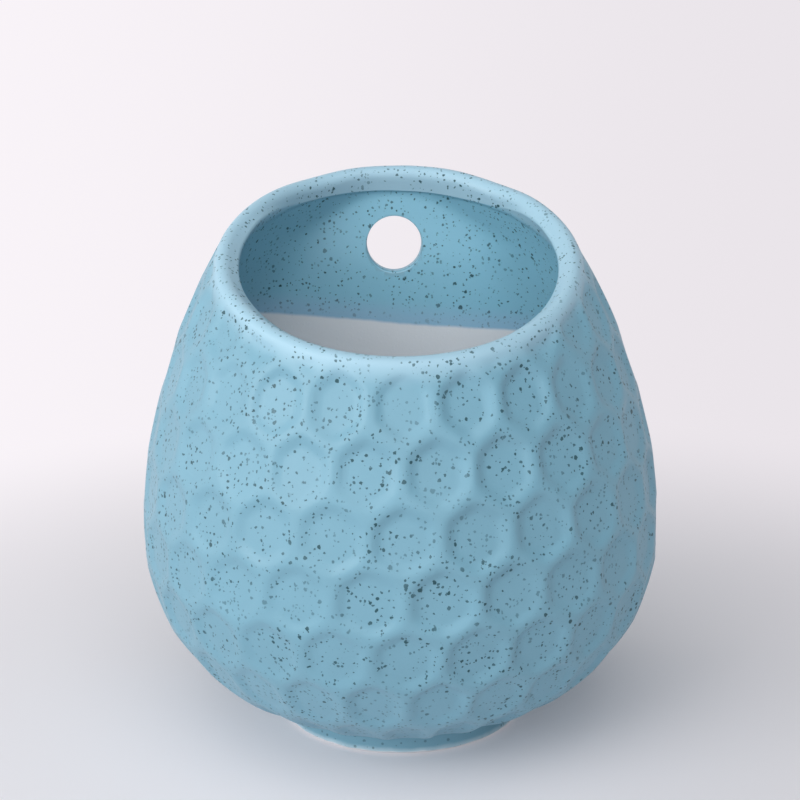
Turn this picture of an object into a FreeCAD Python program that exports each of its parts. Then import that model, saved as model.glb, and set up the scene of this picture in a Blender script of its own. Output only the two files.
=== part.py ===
import FreeCAD, Part
import Sketcher
import math
import os

# A small wall planter of fired clay: an egg-shaped pot with a flat back, a sloped mouth,
# a honeycomb of pressed dimples on its belly and a low round foot.
# X points to the right, -Y to the front and +Z up. The pot stands on z = 0, and the
# origin lies under the middle of its bounding box, so its belly's axis is in front of
# the flat back and behind the origin's line by the setback worked out below.

os.makedirs("parts", exist_ok=True)
doc = FreeCAD.newDocument("wall_planter")


# ---------------------------------------------------------------- driving sizes, in mm
SIZES = {
    "belly_radius": 60.0,
    "lower_arc_radius": 42.8,
    "shoulder_arc_radius": 106.5,
    "shoulder_rise": 24.2,
    "neck_arc_radius": 148.6,
    "back_offset": 33.0,
    "back_edge_round": 4.0,
    "wall": 5.0,
    "inner_corner_round": 10.0,
    "seam_ahead": 1.0,
    "floor_thickness": 5.0,
    "floor_inset": 3.5,
    "drain_diameter": 10.0,
    "foot_radius": 29.2,
    "foot_depth": 2.95,
    "foot_width": 6.0,
    "mouth_height": 130.0,
    "mouth_slope": 23.4,
    "rim_depth": 3.0,
    "rim_outer_round": 2.2,
    "rim_inner_round": 2.4,
    "hang_height": 108.3,
    "hang_diameter": 13.6,
    "dimple_depth": 1.2,
    "dimple_margin": 1.9,
    "dimple_taper": 50.0,
    "dimple_step": 14.1,
    "dimple_row_pitch": 12.7,
    "dimple_low_row": 9.5,
    "dimple_stretch_limit": 1.3,
}

sheet = doc.addObject("Spreadsheet::Sheet", "Sizes")
for line, (name, value) in enumerate(SIZES.items(), start=1):
    sheet.set(f"A{line}", name)
    sheet.set(f"B{line}", str(value))
    sheet.setAlias(f"B{line}", name)
doc.recompute()


def size(name):
    """The value of one driving size, read back from the sheet."""
    return float(getattr(sheet, name))


# Places that follow from the driving sizes, as expressions for the document's objects.
FLOOR_TOP = "(Sizes.foot_depth + Sizes.floor_thickness)"
BELLY_HEIGHT = f"({FLOOR_TOP} + Sizes.lower_arc_radius - Sizes.wall)"
FORM_TOP = "(Sizes.mouth_height + Sizes.wall)"
SETBACK = "((Sizes.belly_radius - Sizes.back_offset) / 2)"
FOOT_INNER_RADIUS = "(Sizes.foot_radius - Sizes.foot_width)"
FLOOR_RADIUS = "(Sizes.foot_radius - Sizes.floor_inset)"
SEAM_PLANE = "(Sizes.back_offset - Sizes.wall - Sizes.seam_ahead)"
FAR = "(4 * Sizes.belly_radius)"

# The same places as numbers, for the first guess of each sketch.
floor_top = size("foot_depth") + size("floor_thickness")
belly_height = floor_top + size("lower_arc_radius") - size("wall")
form_top = size("mouth_height") + size("wall")
shoulder_angle = math.asin(size("shoulder_rise") / size("shoulder_arc_radius"))


# ---------------------------------------------------------------- drawing helpers
def origin_feature(body, role):
    """One of a body's own origin planes or axes."""
    return next(item for item in body.Origin.OriginFeatures if item.Role == role)


def new_sketch(body, name, plane):
    sketch = body.newObject("Sketcher::SketchObject", name)
    sketch.AttachmentSupport = [(origin_feature(body, plane), "")]
    sketch.MapMode = "FlatFace"
    return sketch


def constrain(sketch, *terms, bound_to=None):
    """Adds one constraint, and binds its value to an expression if one is given."""
    index = sketch.addConstraint(Sketcher.Constraint(*terms))
    if bound_to is not None:
        sketch.setExpression(f"Constraints[{index}]", bound_to)
    return index


def draw_line(sketch, start, end):
    segment = Part.LineSegment(FreeCAD.Vector(*start, 0), FreeCAD.Vector(*end, 0))
    return sketch.addGeometry(segment, False)


def draw_arc(sketch, centre, radius, from_angle, to_angle):
    circle = Part.Circle(FreeCAD.Vector(*centre, 0), FreeCAD.Vector(0, 0, 1), radius)
    return sketch.addGeometry(Part.ArcOfCircle(circle, from_angle, to_angle), False)


def draw_side(sketch, inset, inset_size, low_angle):
    """Three tangent arcs up the side of the pot: belly, shoulder and neck.

    The inset is 0 on the outside and the wall on the inside, so that the clay is
    equally thick all the way up.
    """
    low_radius = size("lower_arc_radius") - inset
    shoulder_radius = size("shoulder_arc_radius") - inset
    neck_radius = size("neck_arc_radius") - inset
    low_centre = (size("belly_radius") - size("lower_arc_radius"), belly_height)
    shoulder_centre = (size("belly_radius") - size("shoulder_arc_radius"), belly_height)
    centre_shift = size("shoulder_arc_radius") - size("neck_arc_radius")
    neck_centre = (
        shoulder_centre[0] + centre_shift * math.cos(shoulder_angle),
        shoulder_centre[1] + centre_shift * math.sin(shoulder_angle),
    )
    top_angle = math.asin((form_top - neck_centre[1]) / neck_radius)

    belly = draw_arc(sketch, low_centre, low_radius, low_angle, 0)
    shoulder = draw_arc(sketch, shoulder_centre, shoulder_radius, 0, shoulder_angle)
    neck = draw_arc(sketch, neck_centre, neck_radius, shoulder_angle, top_angle)
    constrain(sketch, "Radius", belly, low_radius,
              bound_to=f"Sizes.lower_arc_radius - {inset_size}")
    constrain(sketch, "DistanceX", -1, 1, belly, 3, low_centre[0],
              bound_to="Sizes.belly_radius - Sizes.lower_arc_radius")
    constrain(sketch, "DistanceY", -1, 1, belly, 3, belly_height, bound_to=BELLY_HEIGHT)
    constrain(sketch, "Tangent", belly, 2, shoulder, 1)
    constrain(sketch, "Horizontal", belly, 3, shoulder, 3)
    constrain(sketch, "Radius", shoulder, shoulder_radius,
              bound_to=f"Sizes.shoulder_arc_radius - {inset_size}")
    constrain(sketch, "Tangent", shoulder, 2, neck, 1)
    constrain(sketch, "Radius", neck, neck_radius,
              bound_to=f"Sizes.neck_arc_radius - {inset_size}")
    rise = shoulder_radius * math.sin(shoulder_angle)
    constrain(sketch, "DistanceY", shoulder, 3, shoulder, 2, rise,
              bound_to=f"Sizes.shoulder_rise * (1 - {inset_size} / Sizes.shoulder_arc_radius)")
    constrain(sketch, "DistanceY", -1, 1, neck, 2, form_top, bound_to=FORM_TOP)
    neck_end = (neck_centre[0] + neck_radius * math.cos(top_angle), form_top)
    return belly, neck, neck_end


def close_on_axis(sketch, first_line, neck, neck_end):
    """The flat top and the axis line that close a half section."""
    top = draw_line(sketch, neck_end, (0, form_top))
    start = sketch.Geometry[first_line].StartPoint
    axis = draw_line(sketch, (0, form_top), (0, start.y))
    constrain(sketch, "Coincident", neck, 2, top, 1)
    constrain(sketch, "Horizontal", top)
    constrain(sketch, "Coincident", top, 2, axis, 1)
    constrain(sketch, "Vertical", axis)
    constrain(sketch, "Coincident", axis, 2, first_line, 1)
    constrain(sketch, "PointOnObject", axis, 2, -2)


def revolve(body, sketch):
    turned = body.newObject("PartDesign::Revolution", f"{body.Name}_turned")
    turned.Profile = sketch
    turned.ReferenceAxis = (sketch, ["V_Axis"])
    turned.Angle = 360
    return turned


def flatten_back(body, plane_place, bound_to):
    """Cuts everything behind one upright plane away from a turned form."""
    sketch = new_sketch(body, f"{body.Name}_back_sketch", "XY_Plane")
    reach = 2 * size("belly_radius")
    corners = [(-reach, plane_place), (reach, plane_place), (reach, reach), (-reach, reach)]
    sides = [draw_line(sketch, corners[k], corners[(k + 1) % 4]) for k in range(4)]
    for k in range(4):
        constrain(sketch, "Coincident", sides[k], 2, sides[(k + 1) % 4], 1)
        constrain(sketch, "Horizontal" if k % 2 == 0 else "Vertical", sides[k])
    constrain(sketch, "DistanceY", -1, 1, sides[0], 1, plane_place, bound_to=bound_to)
    constrain(sketch, "DistanceX", sides[0], 1, -1, 1, reach, bound_to="2 * Sizes.belly_radius")
    constrain(sketch, "DistanceX", -1, 1, sides[0], 2, reach, bound_to="2 * Sizes.belly_radius")
    constrain(sketch, "DistanceY", -1, 1, sides[2], 1, reach, bound_to="2 * Sizes.belly_radius")
    pocket = body.newObject("PartDesign::Pocket", f"{body.Name}_flat_back")
    pocket.Profile = sketch
    pocket.Type = "ThroughAll"
    pocket.Reversed = True
    return pocket


def edges_on_plane(shape, normal, distance):
    """Names of the edges that lie wholly in the plane normal . point = distance."""
    names = []
    for number, edge in enumerate(shape.Edges, start=1):
        points = edge.discretize(7)
        if all(abs(point.dot(normal) - distance) < 1e-4 for point in points):
            names.append(f"Edge{number}")
    return names


def round_back_edge(body, flat, plane_place, radius_size):
    """Rounds the whole loop where the flat back meets the turned side."""
    doc.recompute()
    names = edges_on_plane(flat.Shape, FreeCAD.Vector(0, 1, 0), plane_place)
    rounded = body.newObject("PartDesign::Fillet", f"{body.Name}_back_edge")
    rounded.Base = (flat, names)
    rounded.setExpression("Radius", radius_size)
    return rounded


# ---------------------------------------------------------------- outer form of the pot
outer_form = doc.addObject("PartDesign::Body", "outer_form")
outline = new_sketch(outer_form, "outer_outline", "XZ_Plane")
foot_radius = size("foot_radius")
low_reach = foot_radius - (size("belly_radius") - size("lower_arc_radius"))
outer_low_angle = -math.acos(low_reach / size("lower_arc_radius"))
foot_top = belly_height + size("lower_arc_radius") * math.sin(outer_low_angle)
underside = draw_line(outline, (0, 0), (foot_radius, 0))
foot_side = draw_line(outline, (foot_radius, 0), (foot_radius, foot_top))
belly, neck, neck_end = draw_side(outline, 0, "0", outer_low_angle)
constrain(outline, "PointOnObject", underside, 1, -1)
constrain(outline, "Horizontal", underside)
constrain(outline, "DistanceX", -1, 1, underside, 2, foot_radius, bound_to="Sizes.foot_radius")
constrain(outline, "Coincident", underside, 2, foot_side, 1)
constrain(outline, "Vertical", foot_side)
constrain(outline, "Coincident", foot_side, 2, belly, 1)
close_on_axis(outline, underside, neck, neck_end)
revolve(outer_form, outline)
outer_flat = flatten_back(outer_form, size("back_offset"), "Sizes.back_offset")
round_back_edge(outer_form, outer_flat, size("back_offset"), "Sizes.back_edge_round")


# ---------------------------------------------------------------- hollow inside the pot
hollow_form = doc.addObject("PartDesign::Body", "hollow_form")
outline = new_sketch(hollow_form, "hollow_outline", "XZ_Plane")
low_x = size("belly_radius") - size("lower_arc_radius")
bottom = draw_line(outline, (0, floor_top), (low_x, floor_top))
belly, neck, neck_end = draw_side(outline, size("wall"), "Sizes.wall", -math.pi / 2)
constrain(outline, "Tangent", bottom, 2, belly, 1)
constrain(outline, "Horizontal", bottom)
close_on_axis(outline, bottom, neck, neck_end)
revolve(hollow_form, outline)
inner_face = size("back_offset") - size("wall")
hollow_flat = flatten_back(hollow_form, inner_face, "Sizes.back_offset - Sizes.wall")
round_back_edge(hollow_form, hollow_flat, inner_face, "Sizes.inner_corner_round")


# ---------------------------------------------------------------- honeycomb of dimples
# Cells in each row, from the lowest row up. A row ends where it runs onto the flat back.
CELLS_IN_ROW = (19, 18, 17, 18, 17, 18, 19, 18, 19)


def row_height(row):
    return f"(Sizes.dimple_low_row + {row} * Sizes.dimple_row_pitch)"


def side_at(row):
    """Radius of the outside and its tilt from upright at a row, as expressions.

    The arc that the row lies on is the one that holds its height now.
    """
    height = size("dimple_low_row") + row * size("dimple_row_pitch")
    rise = f"({row_height(row)} - {BELLY_HEIGHT})"
    if height < belly_height:
        arc = "Sizes.lower_arc_radius"
    else:
        arc = "Sizes.shoulder_arc_radius"
    if height < belly_height + size("shoulder_rise"):
        tilt = f"(asin({rise} / {arc}) / 1 deg)"
        radius = f"(Sizes.belly_radius - {arc} * (1 - cos({tilt})))"
        return radius, tilt
    joint = "asin(Sizes.shoulder_rise / Sizes.shoulder_arc_radius)"
    sine = (f"(Sizes.shoulder_rise / Sizes.shoulder_arc_radius"
            f" + ({rise} - Sizes.shoulder_rise) / Sizes.neck_arc_radius)")
    tilt = f"(asin({sine}) / 1 deg)"
    radius = (f"(Sizes.belly_radius - Sizes.shoulder_arc_radius * (1 - cos({joint}))"
              f" - Sizes.neck_arc_radius * (cos({joint}) - cos({tilt})))")
    return radius, tilt


def draw_cell(sketch, low_half_width, high_half_width, half_height):
    """A six-sided cell that stands on a corner, with its middle on the sketch's origin."""
    wide = 0.4 * size("dimple_row_pitch")
    tall = 0.5 * size("dimple_row_pitch")
    corners = [(0, tall), (-wide, tall / 2), (-wide, -tall / 2),
               (0, -tall), (wide, -tall / 2), (wide, tall / 2)]
    sides = [draw_line(sketch, corners[k], corners[(k + 1) % 6]) for k in range(6)]
    for k in range(6):
        constrain(sketch, "Coincident", sides[k], 2, sides[(k + 1) % 6], 1)
    constrain(sketch, "PointOnObject", sides[0], 1, -2)
    constrain(sketch, "PointOnObject", sides[3], 1, -2)
    constrain(sketch, "Symmetric", sides[1], 1, sides[5], 1, -2)
    constrain(sketch, "Symmetric", sides[2], 1, sides[4], 1, -2)
    constrain(sketch, "DistanceX", -1, 1, sides[5], 1, wide, bound_to=high_half_width)
    constrain(sketch, "DistanceX", -1, 1, sides[4], 1, wide, bound_to=low_half_width)
    constrain(sketch, "DistanceY", -1, 1, sides[0], 1, tall, bound_to=half_height)
    constrain(sketch, "DistanceY", sides[3], 1, -1, 1, tall, bound_to=half_height)
    constrain(sketch, "DistanceY", -1, 1, sides[5], 1, tall / 2, bound_to=f"{half_height} / 2")
    constrain(sketch, "DistanceY", sides[4], 1, -1, 1, tall / 2, bound_to=f"{half_height} / 2")


def row_of_tools(row):
    """The tapered six-sided tools that press one row of shallow pans, as one body.

    The first tool's flat end is drawn square to the pot's side at the row's left end, its
    walls open outwards from there, and it is patterned about the belly's axis. A tool is
    wider at the end that is nearer the belly, as its place on the pot is.
    """
    count = CELLS_IN_ROW[row]
    radius, tilt = side_at(row)
    first_angle = f"(-{count - 1} / 2 * Sizes.dimple_step)"
    end_radius = f"({radius} - Sizes.dimple_depth * cos({tilt}))"
    end_height = f"({row_height(row)} - Sizes.dimple_depth * sin({tilt}))"
    stretch = f"min(1 / cos({tilt}); Sizes.dimple_stretch_limit)"
    half_height = (f"(2 / 3 * Sizes.dimple_row_pitch * {stretch}"
                   f" - Sizes.dimple_margin / cos(30))")
    widening = f"({half_height} / 2 * sin({tilt}))"
    low_width, high_width = (
        f"(({radius} {sign} {widening}) * Sizes.dimple_step / 2 * pi / 180"
        f" - Sizes.dimple_margin)" for sign in "+-")
    body = doc.addObject("PartDesign::Body", f"dimple_tools_{row}")
    body.AllowCompound = True
    sketch = body.newObject("Sketcher::SketchObject", f"cell_sketch_{row}")
    draw_cell(sketch, low_width, high_width, half_height)
    sketch.setExpression("Placement", (
        f"placement(vector({end_radius} * sin({first_angle});"
        f" -{end_radius} * cos({first_angle}); {end_height});"
        f" rotation({first_angle}; 0; 90 - {tilt}))"))
    pad = body.newObject("PartDesign::Pad", f"cell_tool_{row}")
    pad.Profile = sketch
    pad.Type = "Length"
    pad.setExpression("Length", "1.3 * Sizes.dimple_depth")
    pad.setExpression("TaperAngle", "Sizes.dimple_taper")
    pattern = body.newObject("PartDesign::PolarPattern", f"cell_row_{row}")
    pattern.Originals = [pad]
    pattern.Axis = (origin_feature(body, "Z_Axis"), [""])
    pattern.Mode = "Spacing"
    pattern.setExpression("Offset", "Sizes.dimple_step")
    pattern.Occurrences = count
    body.Tip = pattern
    return body


dimple_tools = doc.addObject("Part::Compound", "dimple_tools")
dimple_tools.Links = [row_of_tools(row) for row in range(len(CELLS_IN_ROW))]


# ---------------------------------------------------------------- knives that part the clay
def knife(name, base, turned_by="0"):
    """A large block. Its bottom face is the cut, tipped up towards the back."""
    block = doc.addObject("Part::Box", name)
    block.setExpression("Length", FAR)
    block.setExpression("Width", FAR)
    block.setExpression("Height", FAR)
    block.setExpression("Placement", (
        f"placement(vector({base[0]}; {base[1]}; {base[2]}); rotation(0; 0; {turned_by}))"))
    return block


def sloped_knife(name, depth):
    """A knife along the mouth's slope, a depth below the mouth itself."""
    reach = f"({FAR} / 2)"
    back = (f"(Sizes.back_offset - {reach} * cos(Sizes.mouth_slope)"
            f" + {depth} * sin(Sizes.mouth_slope))")
    low = (f"(Sizes.mouth_height - {reach} * sin(Sizes.mouth_slope)"
           f" - {depth} * cos(Sizes.mouth_slope))")
    return knife(name, (f"-{reach}", back, low), "Sizes.mouth_slope")


def boolean(kind, name, base, tool):
    result = doc.addObject(f"Part::{kind}", name)
    result.Base = base
    result.Tool = tool
    return result


def rod(name, radius, height, base, turned_by="0"):
    """A round bar: upright, or turned about X to lie along Y."""
    bar = doc.addObject("Part::Cylinder", name)
    bar.setExpression("Radius", radius)
    bar.setExpression("Height", height)
    bar.setExpression("Placement", (
        f"placement(vector({base[0]}; {base[1]}; {base[2]}); rotation(0; 0; {turned_by}))"))
    return bar


mouth_knife = sloped_knife("mouth_knife", "0")
rim_knife = sloped_knife("rim_knife", "Sizes.rim_depth")
back_knife = knife("back_knife", (f"-{FAR} / 2", SEAM_PLANE, f"-{FAR} / 2"))
upper_knife = knife("upper_knife", (f"-{FAR} / 2", f"-{FAR} / 2", "Sizes.foot_depth"))


# ---------------------------------------------------------------- the pieces
def piece(shape_object, label):
    """Names one finished piece and sets it in the part's own frame."""
    shape_object.Label = label
    shape_object.setExpression("Placement", f"placement(vector(0; {SETBACK}; 0); rotation(0; 0; 0))")
    pieces.append(shape_object)
    return shape_object


pieces = []

# The wall is cut along the sloped mouth, and the cut is rounded: tightly outside and
# broadly inside, so that the lip slopes down into the pot.
pot_blank = boolean("Cut", "pot_blank", outer_form, mouth_knife)
wall_blank = boolean("Cut", "wall_blank", pot_blank, hollow_form)
doc.recompute()
mouth_normal = FreeCAD.Vector(0, -math.sin(math.radians(size("mouth_slope"))),
                              math.cos(math.radians(size("mouth_slope"))))
mouth_point = FreeCAD.Vector(0, size("back_offset"), size("mouth_height"))
lip_edges = edges_on_plane(wall_blank.Shape, mouth_normal, mouth_point.dot(mouth_normal))
lip_edges.sort(key=lambda name: -wall_blank.Shape.getElement(name).Length)
wall_rounded = doc.addObject("Part::Fillet", "wall_rounded")
wall_rounded.Base = wall_blank
rounds = (size("rim_outer_round"), size("rim_inner_round"))
wall_rounded.Edges = [(int(name[4:]), radius, radius) for name, radius in zip(lip_edges, rounds)]

# The rim is the rounded top of the wall, left smooth.
piece(boolean("Common", "rim_cut", wall_rounded, rim_knife), "rim")

# The back wall is a flat slab with rounded edges and a round hole to hang it by.
below_rim = boolean("Cut", "below_rim", wall_rounded, rim_knife)
above_foot = boolean("Common", "above_foot", below_rim, upper_knife)
back_blank = boolean("Common", "back_blank", above_foot, back_knife)
hang_tool = rod("hang_tool", "Sizes.hang_diameter / 2", FAR,
                ("0", f"{FAR} / 2", "Sizes.hang_height"), "90")
back_drilled = boolean("Cut", "back_drilled", back_blank, hang_tool)
piece(boolean("Cut", "back_dimpled", back_drilled, dimple_tools), "back_wall")

# The floor is a round plate that closes the shell inside the foot ring.
floor_knife = rod("floor_knife", FLOOR_RADIUS, "3 * Sizes.floor_thickness",
                  ("0", "0", "Sizes.foot_depth"))
floor_blank = boolean("Common", "floor_blank", above_foot, floor_knife)
drain_tool = rod("drain_tool", "Sizes.drain_diameter / 2", FAR, ("0", "0", f"-{FAR} / 2"))
piece(boolean("Cut", "floor_drilled", floor_blank, drain_tool), "pot_floor")

# The front shell is what is left of the wall: belly, shoulders and sides, all dimpled.
shell_and_floor = boolean("Cut", "shell_and_floor", above_foot, back_knife)
shell_blank = boolean("Cut", "shell_blank", shell_and_floor, floor_knife)
piece(boolean("Cut", "shell_dimpled", shell_blank, dimple_tools), "front_shell")

# The foot is a low ring under the shell, the floor and the back wall.
foot_blank = boolean("Cut", "foot_blank", outer_form, upper_knife)
foot_bore = rod("foot_bore", FOOT_INNER_RADIUS, FAR, ("0", "0", f"-{FAR} / 2"))
piece(boolean("Cut", "foot_bored", foot_blank, foot_bore), "foot_ring")
doc.recompute()


# ---------------------------------------------------------------- checks and files
for item in doc.Objects:
    bad = [state for state in item.State if state in ("Invalid", "Error")]
    if bad:
        raise RuntimeError(f"{item.Name} is {bad}")
for item in pieces:
    shape = item.Shape
    if shape.isNull() or not shape.isValid() or len(shape.Solids) != 1:
        raise RuntimeError(f"{item.Label} is not one valid solid")
    shape.exportStep(f"parts/{item.Label}.step")
    print(f"{item.Label}: {shape.Volume / 1000:.1f} cm3, {len(shape.Faces)} faces")
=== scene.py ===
import math

import bpy
import numpy as np
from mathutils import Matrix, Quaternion, Vector, noise


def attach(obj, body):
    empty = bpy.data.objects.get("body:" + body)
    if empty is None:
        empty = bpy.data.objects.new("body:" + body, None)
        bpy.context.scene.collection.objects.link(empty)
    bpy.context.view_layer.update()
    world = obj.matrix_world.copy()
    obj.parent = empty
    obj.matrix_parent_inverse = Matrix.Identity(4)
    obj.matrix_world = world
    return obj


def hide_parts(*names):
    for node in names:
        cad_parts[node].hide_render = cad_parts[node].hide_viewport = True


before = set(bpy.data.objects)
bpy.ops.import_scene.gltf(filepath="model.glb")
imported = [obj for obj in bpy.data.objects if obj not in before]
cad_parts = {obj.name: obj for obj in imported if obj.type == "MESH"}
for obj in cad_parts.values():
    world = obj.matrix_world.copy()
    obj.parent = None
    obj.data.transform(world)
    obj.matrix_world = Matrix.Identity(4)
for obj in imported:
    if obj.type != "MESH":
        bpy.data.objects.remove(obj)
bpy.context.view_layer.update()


# ---------------------------------------------------------------- camera
# The photograph looks slightly down into the pot's mouth from straight in front, from
# about 31 cm away, through a moderately long lens. Its frame is square.
MM = 0.001
CAMERA_PLACE = Vector((-6.46, -292.91, 145.16)) * MM
CAMERA_AIM = Vector((0.25, 13.5, 75.0)) * MM
CAMERA_LENS = 60.75
CAMERA_SENSOR = 36.0
CAMERA_ROLL = math.radians(-0.81)

bpy.ops.object.camera_add(location=CAMERA_PLACE)
camera = bpy.context.object
camera.data.lens = CAMERA_LENS
camera.data.sensor_width = CAMERA_SENSOR
camera.rotation_mode = "QUATERNION"
level_view = (CAMERA_AIM - CAMERA_PLACE).to_track_quat("-Z", "Y")
camera.rotation_quaternion = level_view @ Quaternion((0, 0, 1), CAMERA_ROLL)
bpy.context.scene.camera = camera


# ---------------------------------------------------------------- pot wall
# The egg-shaped wall of the pot, thrown in pale stoneware and then pressed flat at the
# back. Its mouth is cut on a slope and sponged round, and rows of six-sided dimples are
# pressed into the outside while the clay is soft. One piece from the foot to the rim.
BELLY_RADIUS = 60.0
BELLY_HEIGHT = 45.75
LOW_ARC = 42.8
SHOULDER_ARC = 106.5
NECK_ARC = 148.6
SHOULDER_RISE = 24.2
AXIS_Y = 13.5
WALL = 5.0
BACK_OUTSIDE = 33.0
BACK_INSIDE = 28.0
MOUTH_BACK = 130.0
MOUTH_SLOPE = math.tan(math.radians(23.4))
LOWEST_OUTSIDE = 4.3
FLOOR_RADIUS = 20.0
UNDERSIDE = 2.95
FOOT_INSIDE = 23.2
FOOT_BASE_EDGE = 27.6

# How far the corners between the round wall and the flat back are smoothed out. Inside,
# they are wide low down and grow tight where the rim was trimmed.
BACK_CORNER = 2.4
INSIDE_CORNER = 6.0
CORNER_TIGHTENING = 4.6
TIGHTENS_FROM = 104.0
TIGHT_ABOVE = 116.0

COLUMNS = 384
OUTSIDE_ROWS = 134
LIP_ROWS = 9
TOP_ROWS = 2
INSIDE_ROWS = 72


def side_radius(height, inset=0.0):
    """Radius of the turned wall at a height, a number of millimetres in from its face."""
    low = LOW_ARC - inset
    low_radius = (BELLY_RADIUS - LOW_ARC
                  + np.sqrt(np.maximum(low**2 - (height - BELLY_HEIGHT)**2, 0)))
    shoulder = SHOULDER_ARC - inset
    shoulder_radius = (BELLY_RADIUS - SHOULDER_ARC
                       + np.sqrt(shoulder**2 - (height - BELLY_HEIGHT)**2))
    lean = math.asin(SHOULDER_RISE / SHOULDER_ARC)
    centre_radius = BELLY_RADIUS - SHOULDER_ARC + (SHOULDER_ARC - NECK_ARC) * math.cos(lean)
    centre_height = BELLY_HEIGHT + (SHOULDER_ARC - NECK_ARC) * math.sin(lean)
    neck = NECK_ARC - inset
    neck_radius = centre_radius + np.sqrt(neck**2 - (height - centre_height)**2)
    joint = BELLY_HEIGHT + SHOULDER_RISE * (1 - inset / SHOULDER_ARC)
    upper_radius = np.where(height < joint, shoulder_radius, neck_radius)
    return np.where(height < BELLY_HEIGHT, low_radius, upper_radius)


def wall_lean(height, inset=0.0):
    """How far the wall leans in at a height, as an angle from upright."""
    step = 0.05
    drop = side_radius(height - step, inset) - side_radius(height + step, inset)
    return np.arctan2(drop, 2 * step)


def smooth_step(value, low, high):
    """0 below low, 1 above high and smooth between them."""
    share = np.clip((value - low) / (high - low), 0, 1)
    return share * share * (3 - 2 * share)


def press_flat(depth, plane, softness):
    """Pushes what stands behind an upright plane forward onto it, with a soft corner."""
    near = np.clip(1 - np.abs(depth - plane) / softness, 0, 1)
    return np.minimum(depth, plane) - softness * near**2 / 4


def round_wall(angle, radius, height):
    """Points at angles from the front, radii from the pot's axis and heights."""
    return np.stack([radius * np.sin(angle), -radius * np.cos(angle), height], axis=-1)


def wall_point(angle, height, inset=0.0, push=0.0):
    """Points of the wall, inset from its face, or pushed in square to it."""
    lean = wall_lean(height, inset)
    radius = side_radius(height, inset) - push * np.cos(lean)
    height = height - push * np.sin(lean)
    points = round_wall(angle, radius, height)
    plane = BACK_OUTSIDE
    corner = BACK_CORNER
    if inset > 0:
        plane = BACK_INSIDE
        tight = smooth_step(height, TIGHTENS_FROM, TIGHT_ABOVE)
        corner = INSIDE_CORNER - CORNER_TIGHTENING * tight
    points[..., 1] = press_flat(points[..., 1], plane, corner)
    return points


def mouth_plane(depth):
    """Height of the sloped cut of the mouth at a distance behind the pot's axis."""
    return MOUTH_BACK - (BACK_OUTSIDE - depth) * MOUTH_SLOPE


def mouth_height(angle):
    """Height at which the outside of the wall meets the sloped cut of the mouth."""
    first_guess = 110.0
    rounds = 40
    height = np.full_like(angle, first_guess)
    for _ in range(rounds):
        height = mouth_plane(wall_point(angle, height)[..., 1])
    return height


def even_heights(low, high, rows, inset=0.0, gather=1.0):
    """Heights up the curve of the wall, evenly or gathered towards the high end."""
    samples = 4000
    above_mouth = 4.0
    fine = np.linspace(LOWEST_OUTSIDE, MOUTH_BACK + above_mouth, samples)
    radius = side_radius(fine, inset)
    run = np.concatenate([[0], np.cumsum(np.hypot(np.diff(fine), np.diff(radius)))])
    start = np.interp(low, fine, run)
    end = np.interp(high, fine, run)
    share = 1 - (1 - np.linspace(0, 1, rows)[None, :])**gather
    return np.interp(start[:, None] + share * (end - start)[:, None], run, fine)


def unit(vectors):
    """Vectors of the same directions, one long."""
    return vectors / np.linalg.norm(vectors, axis=-1, keepdims=True)


def round_corner(corner, first, second, radius, rows):
    """An arc of points between two directions that leave a corner."""
    almost_straight = 0.999
    first = unit(first)
    second = unit(second)
    cosine = np.clip(np.sum(first * second, axis=-1), -almost_straight, almost_straight)
    half = np.arccos(cosine) / 2
    reach = (radius / np.sin(half))[:, None]
    centre = corner + unit(first + second) * reach
    start = unit(corner + first * (radius / np.tan(half))[:, None] - centre)
    end = unit(corner + second * (radius / np.tan(half))[:, None] - centre)
    turn = np.pi - 2 * half
    points = []
    for share in np.linspace(0, 1, rows):
        from_start = (np.sin((1 - share) * turn) / np.sin(turn))[:, None]
        from_end = (np.sin(share * turn) / np.sin(turn))[:, None]
        points.append(centre + radius[:, None] * (start * from_start + end * from_end))
    return np.stack(points, axis=1)


def soft_noise(points, size, seed):
    """Smooth noise from -1 to 1 at points in millimetres, for hand-made unevenness."""
    apart = 17.3
    flat = points.reshape(-1, 3) / size + seed * apart
    values = [noise.noise(Vector(point)) for point in flat]
    return np.array(values).reshape(points.shape[:-1])


# The dimples are cells of a honeycomb that is even round the pot and up it. Pressed by
# hand, each is a little off its place and tilted, and they all lie a little askew.
CELL_STEP = math.radians(14.1)
CELL_TURN = math.radians(-0.5)
CELL_LOW_ROW = 9.5
CELL_PITCH = 12.7
CELLS_IN_ROW = np.array([19, 18, 17, 18, 17, 18, 19, 18, 19])
MOST_COLUMNS = 40
CREST_HALF_WIDTH = 0.40
CELL_WALL_WIDTH = 2.3
CORNER_CRISPNESS = 9.0
CELL_DEPTH = 1.3
LEAST_DEPTH = 0.35
MOST_DEPTH = 2.0
UPRIGHT_CURVE = 75.0
DEPTH_SPREAD = 0.08
PLACE_SPREAD = 0.12
TILT_SPREAD = 0.02
SHARED_TILT = 0.03
EDGE_WANDER = 0.45
EDGE_WANDER_SIZE = 9.0
LUMP_DEPTH = 0.22
LUMP_SIZE = 13.0

# The dimples are shallow where the belly meets the foot, a third shallower on the left,
# and end just under the rim.
DEPTH_AT_FOOT = 0.3
FOOT_FADE_LOW = 5.0
FOOT_FADE_HIGH = 9.5
DEPTH_ON_LEFT = 0.65
LEFT_FADE_LOW = -0.6
LEFT_FADE_HIGH = 0.2
SMOOTH_BAND = 0.6
BAND_FADE = 2.2


def fade_in(start, value, low, high):
    """A share that rises smoothly from start at low to 1 at high."""
    return start + (1 - start) * smooth_step(value, low, high)


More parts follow.
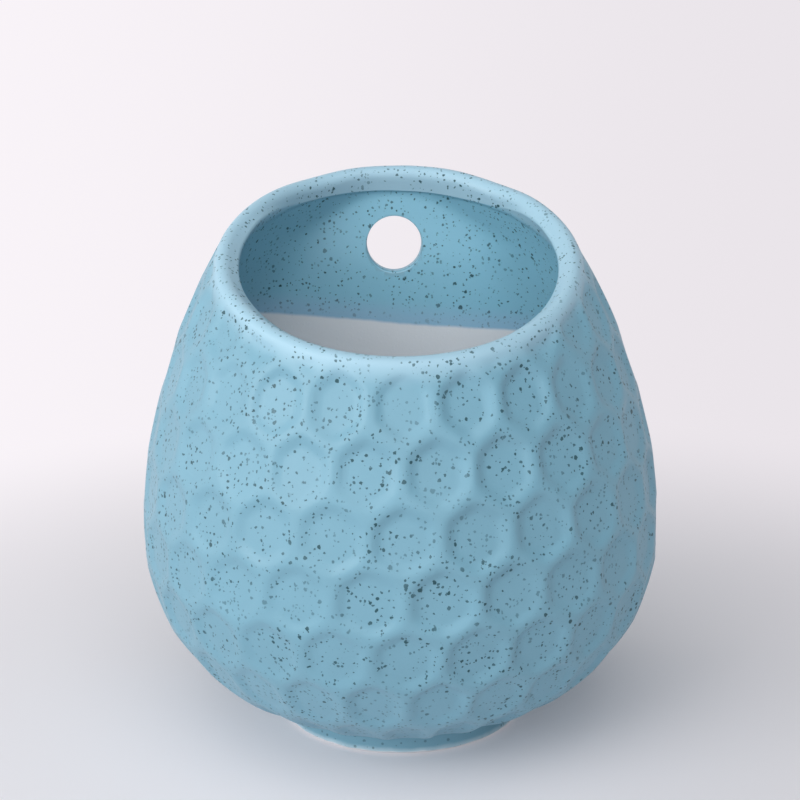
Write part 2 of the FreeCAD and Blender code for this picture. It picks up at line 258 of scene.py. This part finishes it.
def cell_push(angle, height, below_rim):
    """How far the dimples push the wall in, in millimetres, at angles and heights."""
    radius = side_radius(height)
    lean = wall_lean(height)
    face = round_wall(angle, radius, height)
    wander_round = soft_noise(face, EDGE_WANDER_SIZE, seed=1) * EDGE_WANDER / radius
    wander_up = soft_noise(face, EDGE_WANDER_SIZE, seed=2) * EDGE_WANDER
    turned = angle - CELL_TURN + wander_round
    raised = height - CELL_LOW_ROW + wander_up
    rows = len(CELLS_IN_ROW)

    # Five draws for each cell: two for its place, one for its depth and two for its tilt.
    by_hand = np.random.default_rng(7).normal(0, 1, (rows + 2, MOST_COLUMNS, 5))
    total = np.zeros_like(angle)
    nearest = np.full_like(angle, np.inf)
    base_row = np.floor(raised / CELL_PITCH).astype(int)
    for row in (base_row, base_row + 1):
        half_step = np.mod(row, 2) * 0.5
        column = np.round(turned / CELL_STEP - half_step).astype(int)
        own = by_hand[np.clip(row, 0, rows + 1), np.mod(column, MOST_COLUMNS)]

        # Where the point lies in its cell, in millimetres from the cell's middle.
        middle = (column + half_step) * CELL_STEP
        sideways = (turned - middle) * radius + own[..., 0] * PLACE_SPREAD
        up = raised - row * CELL_PITCH
        up_the_wall = up / np.cos(lean) + own[..., 1] * PLACE_SPREAD

        # How near it is to the cell's six sides, 0 in the middle and 1 on a side.
        x = sideways / (CELL_STEP * radius) * math.sqrt(3)
        y = up / CELL_PITCH * 1.5
        sides = [np.abs(x), np.abs(x / 2 + y * math.sqrt(3) / 2),
                 np.abs(x / 2 - y * math.sqrt(3) / 2)]
        nearness = sum(side**CORNER_CRISPNESS for side in sides)**(1 / CORNER_CRISPNESS)
        reach = nearness / (math.sqrt(3) / 2)
        inward = (1 - reach) * (CELL_STEP * radius / 2)
        rise = smooth_step(inward, CREST_HALF_WIDTH, CREST_HALF_WIDTH + CELL_WALL_WIDTH)

        # Its floor is flatter than the wall that it was pressed into.
        sag = sideways**2 / (2 * radius / np.cos(lean)) + up_the_wall**2 / (2 * UPRIGHT_CURVE)
        tilt = (sideways * (TILT_SPREAD * own[..., 3] - SHARED_TILT)
                + up_the_wall * (TILT_SPREAD * own[..., 4] + SHARED_TILT))
        depth = CELL_DEPTH * (1 + DEPTH_SPREAD * own[..., 2]) - sag + tilt
        pressed = rise * np.clip(depth, LEAST_DEPTH, MOST_DEPTH)

        last = (CELLS_IN_ROW[np.clip(row, 0, rows - 1)] - 1) / 2
        real = (row >= 0) & (row < rows) & (np.abs(column + half_step) <= last)
        total = np.where(real & (reach < nearest), pressed, total)
        nearest = np.minimum(nearest, reach)
    total *= fade_in(DEPTH_AT_FOOT, height, FOOT_FADE_LOW, FOOT_FADE_HIGH)
    total *= fade_in(DEPTH_ON_LEFT, np.sin(angle), LEFT_FADE_LOW, LEFT_FADE_HIGH)
    lumps = LUMP_DEPTH * soft_noise(face, LUMP_SIZE, seed=9)
    return (total + lumps) * smooth_step(below_rim, SMOOTH_BAND, SMOOTH_BAND + BAND_FADE)


# The rim. The cut stands square to the wall in front. Round the back the inside was
# trimmed to a slant under the same crest, and by hand it came out higher on the left.
MOUTH_RADIUS = 40.0
OUTER_ROUND = 2.3
OUTER_ROUND_WANDER = 0.3
INNER_ROUND = 0.8
INNER_ROUND_WANDER = 0.15
TRIM_DEPTH = 6.4
TRIM_LOPSIDED = 1.2
SLANT = 0.75
SLANT_FULL = 0.8
RIM_PROUD = 0.9
RIM_HIGHER_IN_FRONT = 0.1
RIM_HIGHER_ON_LEFT = 0.35
RIM_WANDER = 0.3
RIM_WANDER_SIZE = 16.0

angles = np.linspace(0, 2 * math.pi, COLUMNS, endpoint=False) - math.pi
lip_place = round_wall(angles, MOUTH_RADIUS, np.zeros(COLUMNS))
outer_round = OUTER_ROUND + OUTER_ROUND_WANDER * soft_noise(lip_place, size=18.0, seed=3)
inner_round = INNER_ROUND + INNER_ROUND_WANDER * soft_noise(lip_place, size=12.0, seed=4)


def trim_depth(angle):
    """How far below the mouth's slope the potter's trimming ended inside the rim."""
    return TRIM_DEPTH + TRIM_LOPSIDED * np.sin(angle)


def lip(outer_top, inner_top):
    """The rounded outer and inner corners of the rim, from the heights of its faces."""
    down = 2.0
    outer_corner = wall_point(angles, outer_top)
    inner_corner = wall_point(angles, inner_top, WALL)
    down_outside = wall_point(angles, outer_top - down) - outer_corner
    down_inside = wall_point(angles, inner_top - down, WALL) - inner_corner
    across = inner_corner - outer_corner
    return (round_corner(outer_corner, down_outside, across, outer_round, LIP_ROWS),
            round_corner(inner_corner, -across, down_inside, inner_round, LIP_ROWS))


slant = SLANT * smooth_step(-np.cos(angles), 0.0, SLANT_FULL)
proud = RIM_PROUD + RIM_HIGHER_IN_FRONT * np.cos(angles) - RIM_HIGHER_ON_LEFT * np.sin(angles)
wander = RIM_WANDER * soft_noise(lip_place, RIM_WANDER_SIZE, seed=5)
square_top = mouth_height(angles) + proud + wander
square_corner = wall_point(angles, square_top, push=WALL)
slant_top = mouth_plane(square_corner[:, 1]) - trim_depth(angles)
inner_top = square_corner[:, 2] + slant * (slant_top - square_corner[:, 2])

# The slant would lower the crest, so the outer face is raised until the crest is back.
CREST_ROUNDS = 3
crest = lip(square_top, square_corner[:, 2])[0][..., 2].max(axis=1)
outer_top = square_top
outer_lip, inner_lip = lip(outer_top, inner_top)
for _ in range(CREST_ROUNDS):
    outer_top = outer_top + crest - outer_lip[..., 2].max(axis=1)
    outer_lip, inner_lip = lip(outer_top, inner_top)

# The outside from the foot up to the rim. The wall leans in there, so the way down it
# from the rim is a little longer than the drop.
LEANING_RUN = 1.08

outer_end = outer_lip[:, 0, 2]
outside_heights = even_heights(np.full(COLUMNS, LOWEST_OUTSIDE), outer_end,
                               OUTSIDE_ROWS + 1)[:, :-1]
outside_angle = np.broadcast_to(angles[:, None], outside_heights.shape)
below_rim = (outer_end[:, None] - outside_heights) * LEANING_RUN
outside = wall_point(outside_angle, outside_heights,
                     push=cell_push(outside_angle, outside_heights, below_rim))

# The inside from the rim down to the floor, with its rows closer together near the rim.
INSIDE_GATHER = 1.8

inner_low = BELLY_HEIGHT - math.sqrt((LOW_ARC - WALL)**2
                                     - (FLOOR_RADIUS - BELLY_RADIUS + LOW_ARC)**2)
inside_heights = even_heights(np.full(COLUMNS, inner_low), inner_lip[:, -1, 2],
                              INSIDE_ROWS + 1, WALL, INSIDE_GATHER)[:, :-1][:, ::-1]
inside_angle = np.broadcast_to(angles[:, None], inside_heights.shape)
inside = wall_point(inside_angle, inside_heights, WALL)

# The potter trimmed the inside of the rim, which left a crease round its back half. Just
# below the crease the wall is a little thinner, and further down it is full again.
CREASE_STEP = 0.7
CREASE_WANDER = 0.5
CREASE_WANDER_SIZE = 7.0
STEP_STARTS_ABOVE = 0.4
STEP_ENDS_BELOW = 0.6
THIN_WALL_RUN = 6.0
FULL_WALL_RUN = 20.0
TRIMMED_LOW = -0.1
TRIMMED_HIGH = 0.4

below_mouth = mouth_plane(inside[..., 1]) - inside_heights
crease = (trim_depth(inside_angle)
          + CREASE_WANDER * soft_noise(inside, CREASE_WANDER_SIZE, seed=6))
ledge = smooth_step(below_mouth, crease - STEP_STARTS_ABOVE, crease + STEP_ENDS_BELOW)
ledge *= 1 - smooth_step(below_mouth, crease + THIN_WALL_RUN, crease + FULL_WALL_RUN)
ledge *= smooth_step(-np.cos(inside_angle), TRIMMED_LOW, TRIMMED_HIGH) * CREASE_STEP
inside += round_wall(inside_angle, ledge, np.zeros_like(ledge))

top_share = np.linspace(0, 1, TOP_ROWS + 2)[None, 1:-1, None]
top = outer_lip[:, -1:] * (1 - top_share) + inner_lip[:, :1] * top_share
under = np.stack([round_wall(angles, radius, np.full(COLUMNS, UNDERSIDE))
                  for radius in (FLOOR_RADIUS, FOOT_INSIDE, FOOT_BASE_EDGE)], axis=1)
places = np.concatenate([outside, outer_lip, top, inner_lip, inside, under], axis=1)
places[..., 1] += AXIS_Y

# Where the wall is inside, and where it is painted pale: on the rim, down to 5 mm below it
# outside and to the crease inside. The pale is a painted highlight over glaze that runs thin
# there.
PALE_OUTSIDE_LOW = -1.0
PALE_OUTSIDE_HIGH = 5.0
PALE_ABOVE_CREASE = 2.5
PALE_BELOW_CREASE = 0.3
inside_from = OUTSIDE_ROWS + LIP_ROWS + TOP_ROWS + LIP_ROWS // 2
rim_until = OUTSIDE_ROWS + 2 * LIP_ROWS + TOP_ROWS
under_from = rim_until + INSIDE_ROWS
is_inside = np.zeros(places.shape[:2], np.float32)
is_inside[:, inside_from:] = 1.0
is_thin_and_highlit = np.ones(places.shape[:2], np.float32)
is_thin_and_highlit[:, :OUTSIDE_ROWS] = 1 - smooth_step(below_rim, PALE_OUTSIDE_LOW, PALE_OUTSIDE_HIGH)
is_thin_and_highlit[:, rim_until:under_from] = 1 - smooth_step(
    below_mouth, crease - PALE_ABOVE_CREASE, crease + PALE_BELOW_CREASE)
is_thin_and_highlit[:, under_from:] = 0.0

# A flat grid is laid round the pot with its first row and column repeated at the far
# end, and is then closed along both seams.
SEAM_GAP = 0.002
round_and_up = [(0, 1), (0, 1)]
places = np.pad(places, round_and_up + [(0, 0)], mode="wrap")

bpy.ops.object.select_all(action="DESELECT")
bpy.ops.mesh.primitive_grid_add(x_subdivisions=places.shape[1] - 1,
                                y_subdivisions=places.shape[0] - 1)
pot_wall = bpy.context.object
pot_wall.name = "pot_wall"
pot_wall.data.vertices.foreach_set("co", (places * MM).astype(np.float32).ravel())
for name, marks in (("inside", is_inside), ("thin_and_highlit", is_thin_and_highlit)):
    attribute = pot_wall.data.attributes.new(name, "FLOAT", "POINT")
    attribute.data.foreach_set("value", np.pad(marks, round_and_up, mode="wrap").ravel())
pot_wall.data.update()
bpy.ops.object.mode_set(mode="EDIT")
bpy.ops.mesh.select_all(action="SELECT")
bpy.ops.mesh.remove_doubles(threshold=SEAM_GAP * MM)
bpy.ops.mesh.normals_make_consistent(inside=False)
bpy.ops.object.mode_set(mode="OBJECT")

# The hole to hang the pot by, cut through the flat back and softened at both lips. Each
# lip starts a hair below the wall's face.
HANG_HEIGHT = 108.3
HANG_RADIUS = 6.8
HANG_LIP = 1.0
HANG_SIDES = 72
LIP_SINK = 0.12
LIP_BENDS = 7
BEND_DEGREES = 15
CLEAR_OF_WALL = 3.0
SHARP_EDGE = math.radians(40)

hole_rings = [(BACK_INSIDE - CLEAR_OF_WALL, HANG_RADIUS + HANG_LIP)]
for step in range(LIP_BENDS):
    bend = math.radians(BEND_DEGREES * step)
    hole_rings.append((BACK_INSIDE - LIP_SINK + HANG_LIP * (1 - math.cos(bend)),
                       HANG_RADIUS + HANG_LIP * (1 - math.sin(bend))))
hole_rings += [(BACK_INSIDE + BACK_OUTSIDE - depth, radius)
               for depth, radius in reversed(hole_rings)]
first_depth, first_radius = hole_rings[0]
first_middle = Vector((0, first_depth + AXIS_Y, HANG_HEIGHT)) * MM
bpy.ops.mesh.primitive_circle_add(vertices=HANG_SIDES, radius=first_radius * MM,
                                  fill_type="NGON", rotation=(math.pi / 2, 0, 0),
                                  location=first_middle)
hole_tool = bpy.context.object
bpy.ops.object.mode_set(mode="EDIT")
bpy.ops.mesh.select_all(action="SELECT")
for (depth, radius), (next_depth, next_radius) in zip(hole_rings, hole_rings[1:]):
    bpy.ops.mesh.extrude_region_move(
        TRANSFORM_OT_translate={"value": (0, (next_depth - depth) * MM, 0)})
    bpy.ops.transform.resize(value=(next_radius / radius,) * 3)
bpy.ops.mesh.select_all(action="SELECT")
bpy.ops.mesh.normals_make_consistent(inside=False)
bpy.ops.object.mode_set(mode="OBJECT")

drill = pot_wall.modifiers.new("hang_hole", "BOOLEAN")
drill.operation = "DIFFERENCE"
drill.object = hole_tool
bpy.ops.object.select_all(action="DESELECT")
bpy.context.view_layer.objects.active = pot_wall
pot_wall.select_set(True)
bpy.ops.object.modifier_apply(modifier=drill.name)
bpy.data.objects.remove(hole_tool)
bpy.ops.object.shade_smooth_by_angle(angle=SHARP_EDGE)

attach(pot_wall, "root")
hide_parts("rim", "back_wall", "front_shell")


class Link:
    """An output of one of a material's nodes. Sums on it add Math nodes."""

    tree = None

    def __init__(self, socket):
        self.socket = socket

    @classmethod
    def add(cls, kind, inputs=(), output=0, **settings):
        """Adds a node with its settings first, then the values or links of its inputs."""
        node = cls.tree.nodes.new(kind)
        for name, value in settings.items():
            setattr(node, name, value)
        for name, value in dict(inputs).items():
            if isinstance(value, Link):
                cls.tree.links.new(value.socket, node.inputs[name])
            else:
                node.inputs[name].default_value = value
        return cls(node.outputs[output]) if len(node.outputs) else None

    def math(self, operation, *others):
        return Link.add("ShaderNodeMath", dict(enumerate((self, *others))),
                        operation=operation)

    def __add__(self, other):
        return self.math("ADD", other)

    __radd__ = __add__

    def __mul__(self, other):
        return self.math("MULTIPLY", other)

    __rmul__ = __mul__

    def __sub__(self, other):
        return self.math("SUBTRACT", other)

    def __rsub__(self, other):
        return self * -1.0 + other

    def step(self, low, high):
        """0 below low, 1 above high and smooth between them."""
        return Link.add("ShaderNodeMapRange",
                        {"Value": self, "From Min": low, "From Max": high},
                        interpolation_type="SMOOTHSTEP")


def along(place, axis):
    """One of a place's three coordinates, in metres."""
    return Link.add("ShaderNodeSeparateXYZ", {"Vector": place}, output=axis)


def blend(share, first, second):
    """A colour between two colours."""
    first = first if isinstance(first, Link) else (*first, 1.0)
    second = second if isinstance(second, Link) else (*second, 1.0)
    return Link.add("ShaderNodeMix", {0: share, 6: first, 7: second}, output=2,
                    data_type="RGBA")


def start_material(name):
    """An empty material, to which the nodes that follow are added."""
    material = bpy.data.materials.new(name)
    material.use_nodes = True
    material.node_tree.nodes.clear()
    Link.tree = material.node_tree
    return material


def grain(place, size, detail=2.0, output="Fac"):
    """Noise whose features are about size millimetres across."""
    return Link.add("ShaderNodeTexNoise",
                    {"Vector": place, "Scale": 1 / (size * MM), "Detail": detail}, output=output)


def specks(place, spacing, largest, share):
    """Round soft specks of mixed sizes in a share of the cells of a loose grid."""
    cell = {"Vector": place, "Scale": 1 / (spacing * MM), "Randomness": 1.0}
    distance = Link.add("ShaderNodeTexVoronoi", cell, output="Distance")
    draw = Link.add("ShaderNodeTexVoronoi", cell, output="Color")
    chance = Link.add("ShaderNodeSeparateColor", {"Color": draw})
    radius = (chance - (1 - share)) * (largest / share)
    edge_out = -0.02
    edge_in = 0.06
    return (radius - distance).step(edge_out, edge_in)


def fired_clay(colour, roughness, bumps):
    """A glazed or bare fired surface, with bumps given as heights in metres."""
    relief = Link.add("ShaderNodeBump", {"Height": bumps, "Distance": 1.0, "Strength": 0.6})
    surface = Link.add("ShaderNodeBsdfPrincipled", {
        "Base Color": colour, "Roughness": roughness, "Normal": relief, "IOR": 1.5})
    Link.add("ShaderNodeOutputMaterial", {"Surface": surface})


# The satin blue glaze with its dark specks, which crowd together here and there. It ran
# thin on the rim, which also carries a painted highlight. Inside it takes a lighter copy,
# painted light for the inside walls. It ends at a slanting line, and below it is bare clay.
GLAZE = (0.172, 0.364, 0.466)
GLAZE_CLOUDS = tuple(1.12 * part for part in GLAZE)
# Lighter copy of the glaze for the inside walls: painted light for the light that reaches into
# the pot.
GLAZE_INSIDE_PAINTED_LIGHT = (0.235, 0.515, 0.655)
GLAZE_EDGE = (0.330, 0.510, 0.690)
# Pale blue of the rim: a painted highlight over glaze that runs thin there.
GLAZE_RIM_HIGHLIT = (0.380, 0.590, 0.710)
SPECK = (0.012, 0.075, 0.095)
CLAY = (0.77, 0.79, 0.82)
GLAZE_ROUGHNESS = 0.42
BARE_EXTRA_ROUGHNESS = 0.40
GLAZE_PIT_SIZE = 0.7
GLAZE_PIT_HEIGHT = 0.04
SPECK_HEIGHT = 0.05
SPECK_WARP = 0.8
SMALL_SPECK_STRENGTH = 0.85
CROWD_SIZE = 9.0
CLOUD_SIZE = 14.0
CLOUD_STRENGTH = 0.35
THIN_AND_HIGHLIT_STRENGTH = 0.85
LINE_HEIGHT = 87.8
LINE_SLOPE = 0.0935
LINE_SOFTNESS = 0.5
RUNNY_FROM = 0.6
RUNNY_TO = 6.5
RUNNY_STRENGTH = 0.6

glazed = start_material("speckled_blue_glaze")
place = Link.add("ShaderNodeTexCoord", output="Object")
warped = Link.add("ShaderNodeVectorMath",
                  {0: grain(place, SPECK_WARP, output="Color"), 1: (SPECK_WARP * MM,) * 3,
                   2: place}, operation="MULTIPLY_ADD")
small = specks(warped, spacing=0.80, largest=0.42, share=0.62) * SMALL_SPECK_STRENGTH
middling = specks(warped, spacing=1.40, largest=0.34, share=0.55)
large = specks(warped, spacing=2.8, largest=0.23, share=0.30)
crowd = grain(place, CROWD_SIZE).step(low=0.36, high=0.60) * 0.5 + 0.5
dots = small.math("MAXIMUM", middling).math("MAXIMUM", large) * crowd

inside = Link.add("ShaderNodeAttribute", output="Fac", attribute_name="inside")
thin_and_highlit = Link.add("ShaderNodeAttribute", output="Fac", attribute_name="thin_and_highlit")
line_wander = grain(place, size=18.0) * (1.4 * MM) + grain(place, size=2.2) * (0.3 * MM)
above_line = along(place, "Z") + along(place, "X") * LINE_SLOPE - line_wander - LINE_HEIGHT * MM
bare = inside * (1 - above_line.step(-LINE_SOFTNESS * MM, LINE_SOFTNESS * MM))
runny = inside * (1 - above_line.step(RUNNY_FROM * MM, RUNNY_TO * MM)) * RUNNY_STRENGTH

clouds = grain(place, CLOUD_SIZE).step(low=0.3, high=0.7) * CLOUD_STRENGTH
colour = blend(clouds, GLAZE, GLAZE_CLOUDS)
# Painted light: the inside walls take the lighter copy of the glaze.
colour = blend(inside, colour, GLAZE_INSIDE_PAINTED_LIGHT)
# Painted highlight: the rim and the band inside it down to the crease are painted pale, over
# glaze that runs thin there.
colour = blend(thin_and_highlit * THIN_AND_HIGHLIT_STRENGTH, colour, GLAZE_RIM_HIGHLIT)
colour = blend(dots, colour, SPECK)
colour = blend(runny, colour, GLAZE_EDGE)
colour = blend(bare, colour, CLAY)
pits = grain(place, GLAZE_PIT_SIZE) * (GLAZE_PIT_HEIGHT * MM)
fired_clay(colour, GLAZE_ROUGHNESS + bare * BARE_EXTRA_ROUGHNESS,
           pits + dots * (SPECK_HEIGHT * MM))
pot_wall.data.materials.clear()
pot_wall.data.materials.append(glazed)


# ---------------------------------------------------------------- foot
# The low round foot under the belly, turned from the same clay. Glaze runs down its side
# and was wiped away just above the table.
FOOT_OUTLINE = [
    (FOOT_INSIDE, UNDERSIDE), (23.25, 1.2), (23.7, 0.35), (24.6, 0.0), (FOOT_BASE_EDGE, 0.0),
    (28.4, 0.12), (28.9, 0.5), (29.1, 1.1), (29.05, 2.0), (28.95, 3.0), (28.95, 4.0),
    (29.05, 5.0), (29.1, 6.2), (28.4, 6.2), (28.2, UNDERSIDE)]
FOOT_STEPS = 200
GLAZE_THIN = (0.46, 0.64, 0.72)
WIPE_WANDER = 1.2
WIPE_WANDER_SIZE = 5.0
BARE_BELOW = 0.5
COVERED_ABOVE = 0.9
THIN_BELOW = 0.7
THICK_ABOVE = 2.1
FOOT_SPECK_STRENGTH = 0.55
FOOT_BARE_ROUGHNESS = 0.8


def turn(name, outline, steps):
    """Turns a closed outline of (radius, height) points about the pot's axis."""
    mesh = bpy.data.meshes.new(name)
    count = len(outline)
    mesh.from_pydata([(radius * MM, AXIS_Y * MM, height * MM) for radius, height in outline],
                     [(k, (k + 1) % count) for k in range(count)], [])
    piece = bpy.data.objects.new(name, mesh)
    bpy.context.scene.collection.objects.link(piece)
    bpy.ops.object.select_all(action="DESELECT")
    bpy.context.view_layer.objects.active = piece
    piece.select_set(True)
    bpy.ops.object.mode_set(mode="EDIT")
    bpy.ops.mesh.select_all(action="SELECT")
    bpy.ops.mesh.spin(steps=steps, angle=2 * math.pi, center=(0, AXIS_Y * MM, 0),
                      axis=(0, 0, 1))
    bpy.ops.mesh.select_all(action="SELECT")
    bpy.ops.mesh.remove_doubles(threshold=0.01 * MM)
    bpy.ops.mesh.normals_make_consistent(inside=False)
    bpy.ops.object.mode_set(mode="OBJECT")
    bpy.ops.object.shade_smooth_by_angle(angle=SHARP_EDGE)
    return piece


foot = turn("foot", FOOT_OUTLINE, FOOT_STEPS)
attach(foot, "root")
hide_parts("foot_ring")

foot_glaze = start_material("foot_glaze")
place = Link.add("ShaderNodeTexCoord", output="Object")
above_table = along(place, "Z") + (grain(place, WIPE_WANDER_SIZE) - 0.5) * (WIPE_WANDER * MM)
covered = above_table.step(BARE_BELOW * MM, COVERED_ABOVE * MM)
thick = above_table.step(THIN_BELOW * MM, THICK_ABOVE * MM)
dots = specks(place, spacing=1.05, largest=0.42, share=0.55) * FOOT_SPECK_STRENGTH * covered
colour = blend(thick, GLAZE_THIN, GLAZE)
colour = blend(dots, colour, SPECK)
colour = blend(covered, CLAY, colour)
fired_clay(colour, FOOT_BARE_ROUGHNESS - covered * (FOOT_BARE_ROUGHNESS - GLAZE_ROUGHNESS),
           grain(place, GLAZE_PIT_SIZE) * (GLAZE_PIT_HEIGHT * MM))
foot.data.materials.append(foot_glaze)


# ---------------------------------------------------------------- floor
# The floor of the pot, bare clay inside and under, with a round hole for the water. Its
# top carries on the curve of the wall's inside, and both edges of the hole are softened.
DRAIN_RADIUS = 5.0
FLOOR_STEPS = 96
CLAY_SHADE = tuple(0.88 * part for part in CLAY)
CLAY_ROUGHNESS = 0.82
CLAY_PIT_SIZE = 0.5
CLAY_PIT_HEIGHT = 0.08
CLAY_CLOUD_SIZE = 6.0
CLAY_CLOUD_STRENGTH = 0.5

floor_top = [(radius, BELLY_HEIGHT - math.sqrt((LOW_ARC - WALL)**2
              - max(0.0, radius - BELLY_RADIUS + LOW_ARC)**2))
             for radius in (FLOOR_RADIUS, 19.0, 18.0, 17.2, 14.0, 10.0, 7.0, 6.2)]
FLOOR_OUTLINE = [
    (FLOOR_RADIUS, UNDERSIDE), *floor_top, (5.5, 7.8), (5.1, 7.3), (DRAIN_RADIUS, 6.8),
    (DRAIN_RADIUS, 3.9), (5.15, 3.3), (5.6, UNDERSIDE), (12.0, UNDERSIDE)]
pot_floor = turn("floor", FLOOR_OUTLINE, FLOOR_STEPS)
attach(pot_floor, "root")
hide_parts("pot_floor")

bare_clay = start_material("bare_white_clay")
place = Link.add("ShaderNodeTexCoord", output="Object")
clouds = grain(place, CLAY_CLOUD_SIZE, detail=3.0).step(low=0.3, high=0.7)
fired_clay(blend(clouds * CLAY_CLOUD_STRENGTH, CLAY, CLAY_SHADE), CLAY_ROUGHNESS,
           grain(place, CLAY_PIT_SIZE, detail=3.0) * (CLAY_PIT_HEIGHT * MM))
pot_floor.data.materials.append(bare_clay)


# ---------------------------------------------------------------- table and light
# A plain pale table that fades into a white room, which is a little dimmer on the right,
# with soft light from the left, from above and from behind the camera. Right by the pot a
# small share of the glowing white is mixed into the table, as painted light that lifts its
# shadow.
BRIGHT_SIDE = (0.95, 0.905, 0.945)
DIM_SIDE = (0.82, 0.78, 0.82)
TABLE_SIZE = 6.0
TABLE_COLOUR = (0.86, 0.83, 0.86, 1.0)
NEAR_POT = 0.06
FAR_FROM_POT = 0.30
NEAR_POT_GLOW = 0.14
WHITE_TURN = 0.35
ROOM_TURN = 0.8
ROOM_LEFT = (0.36, 0.38, 0.39)
ROOM_RIGHT = (0.10, 0.13, 0.145)

bpy.ops.mesh.primitive_plane_add(size=TABLE_SIZE)
table = bpy.context.object
table.name = "table"


def room_white(direction):
    """The white of the far room in a direction, dimmer towards the right."""
    level = Link.add("ShaderNodeVectorMath", {0: direction}, operation="NORMALIZE")
    return blend(along(level, "X").step(-WHITE_TURN, WHITE_TURN), BRIGHT_SIDE, DIM_SIDE)


pale = start_material("pale_table")
place = Link.add("ShaderNodeTexCoord", output="Object")
from_camera = Link.add("ShaderNodeVectorMath", {0: place, 1: tuple(CAMERA_PLACE)},
                       operation="SUBTRACT")
from_pot = Link.add("ShaderNodeVectorMath", {0: place, 1: (0.0, AXIS_Y * MM, 0.0)},
                    operation="DISTANCE", output="Value")
near_board = Link.add("ShaderNodeBsdfDiffuse", {"Color": TABLE_COLOUR})
far_board = Link.add("ShaderNodeEmission", {"Color": room_white(from_camera), "Strength": 1.0})
# Painted light: even next to the pot the table glows a little, which lifts its shadow.
faded = NEAR_POT_GLOW + from_pot.step(NEAR_POT, FAR_FROM_POT) * (1 - NEAR_POT_GLOW)
board = Link.add("ShaderNodeMixShader", {0: faded, 1: near_board, 2: far_board})
Link.add("ShaderNodeOutputMaterial", {"Surface": board})
table.data.materials.append(pale)

world = bpy.data.worlds.new("studio")
bpy.context.scene.world = world
world.use_nodes = True
world.node_tree.nodes.clear()
Link.tree = world.node_tree
seen = Link.add("ShaderNodeLightPath", output="Is Camera Ray")
for kind in ("Is Glossy Ray", "Is Transmission Ray"):
    seen = seen.math("MAXIMUM", Link.add("ShaderNodeLightPath", output=kind))
outward = Link.add("ShaderNodeTexCoord", output="Generated")
room_light = blend(along(outward, "X").step(-ROOM_TURN, ROOM_TURN), ROOM_LEFT, ROOM_RIGHT)
room = Link.add("ShaderNodeBackground", {"Color": room_light, "Strength": 1.0})
white = Link.add("ShaderNodeBackground", {"Color": room_white(outward), "Strength": 1.0})
both = Link.add("ShaderNodeMixShader", {0: seen, 1: room, 2: white})
Link.add("ShaderNodeOutputWorld", {"Surface": both})


def soft_lamp(name, place, size, watts, shade):
    """A square lamp that faces the middle of the pot."""
    bpy.ops.object.light_add(type="AREA", location=place)
    lamp = bpy.context.object
    lamp.name = name
    lamp.data.size = size
    lamp.data.energy = watts
    lamp.data.color = shade
    pot_middle = Vector((0, 0, 0.06))
    lamp.rotation_euler = (pot_middle - Vector(place)).to_track_quat("-Z", "Y").to_euler()


WARM = (1.0, 0.98, 0.96)
NEUTRAL = (1.0, 0.99, 0.98)
COOL = (0.98, 0.99, 1.0)
soft_lamp("window", place=(-0.76, -0.62, 0.48), size=0.7, watts=5.4, shade=NEUTRAL)
soft_lamp("side_window", place=(-1.05, -0.05, 0.30), size=0.8, watts=1.8, shade=WARM)
soft_lamp("ceiling", place=(0.0, -0.50, 0.98), size=0.9, watts=4.4, shade=COOL)
soft_lamp("doorway", place=(0.08, -1.10, 0.42), size=0.7, watts=2.2, shade=COOL)

scene = bpy.context.scene
scene.view_settings.view_transform = "Standard"

bpy.context.view_layer.update()
